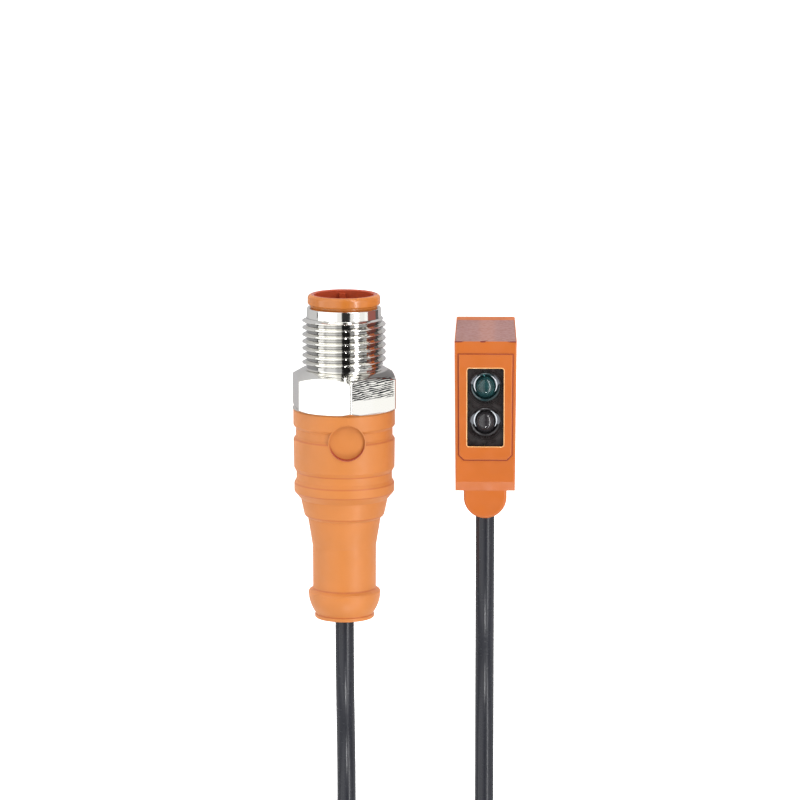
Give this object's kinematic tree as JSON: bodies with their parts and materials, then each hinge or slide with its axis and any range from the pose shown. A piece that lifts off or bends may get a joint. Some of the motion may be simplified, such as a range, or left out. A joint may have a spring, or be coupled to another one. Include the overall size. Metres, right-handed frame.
{
  "type": "photoelectric sensor",
  "caption": "Small rectangular photoelectric sensor head with paired emitter and receiver lenses, a short round cable and an M12 plug with a turning threaded sleeve.",
  "frame": {"origin": "on the back face's plane, under the middle of the sensor head (cable and plug not counted)", "axes": "+Z out of the lenses, along the light beam; +Y along the head, towards the light window and away from the cable; +X across the head"},
  "size_m": [0.0342, 0.1125, 0.0161],
  "materials": {
    "head_plastic": "satin moulded plastic",
    "overmould_plastic": "soft matt moulding",
    "carrier_plastic": "smooth moulding",
    "optics_black": "smooth black moulding",
    "lens_tinted": "clear moulded lens with a teal filter",
    "lens_clear": "clear moulded lens",
    "window_frosted": "frosted light guide",
    "board_green": "solder mask",
    "chip_black": "moulded package",
    "led_clear": "moulded lamp package",
    "capacitor_tan": "ceramic chip",
    "bush_steel": "turned, nickel plated",
    "ferrule_metal": "crimped",
    "seal_rubber": "moulded ring",
    "nickel_plate": "bright nickel plating on brass",
    "inner_natural": "natural moulding",
    "jacket_grey": "extruded cable jacket",
    "core_brown": "extruded",
    "core_white": "extruded",
    "core_blue": "extruded",
    "core_black": "extruded",
    "contact_gold": "gold plated"
  },
  "bodies": {
    "sensor": {"housing_shell": "head_plastic", "rear_cover": "head_plastic", "front_frame": "head_plastic", "cable_grommet": "head_plastic", "optics_carrier": "optics_black", "receiver_lens": "lens_tinted", "emitter_lens": "lens_clear", "light_window": "window_frosted", "main_board": "board_green", "receiver_chip": "chip_black", "emitter_led": "led_clear", "control_chip": "chip_black", "power_led": "led_clear", "output_led": "led_clear", "capacitors": "capacitor_tan", "mounting_bush_upper": "bush_steel", "mounting_bush_lower": "bush_steel", "head_ferrule": "ferrule_metal", "contact_carrier": "carrier_plastic", "sealing_ring": "seal_rubber", "plug_overmould": "overmould_plastic", "inner_mould": "inner_natural", "plug_ferrule": "ferrule_metal", "cable_head_lead": "jacket_grey", "cable_coil": "jacket_grey", "cable_plug_lead": "jacket_grey", "head_core_brown": "core_brown", "plug_core_brown": "core_brown", "head_core_white": "core_white", "plug_core_white": "core_white", "head_core_blue": "core_blue", "plug_core_blue": "core_blue", "head_core_black": "core_black", "plug_core_black": "core_black", "contact_pin_1": "contact_gold", "contact_pin_2": "contact_gold", "contact_pin_3": "contact_gold", "contact_pin_4": "contact_gold"},
    "coupling": {"coupling_sleeve": "nickel_plate"}
  },
  "joints": [
    {"name": "coupling_spin", "type": "hinge", "parent": "sensor", "child": "coupling", "pos_m": [-0.0202, 0.0082, 0.00815], "axis": [0, 1, 0], "continuous": true}
  ]
}
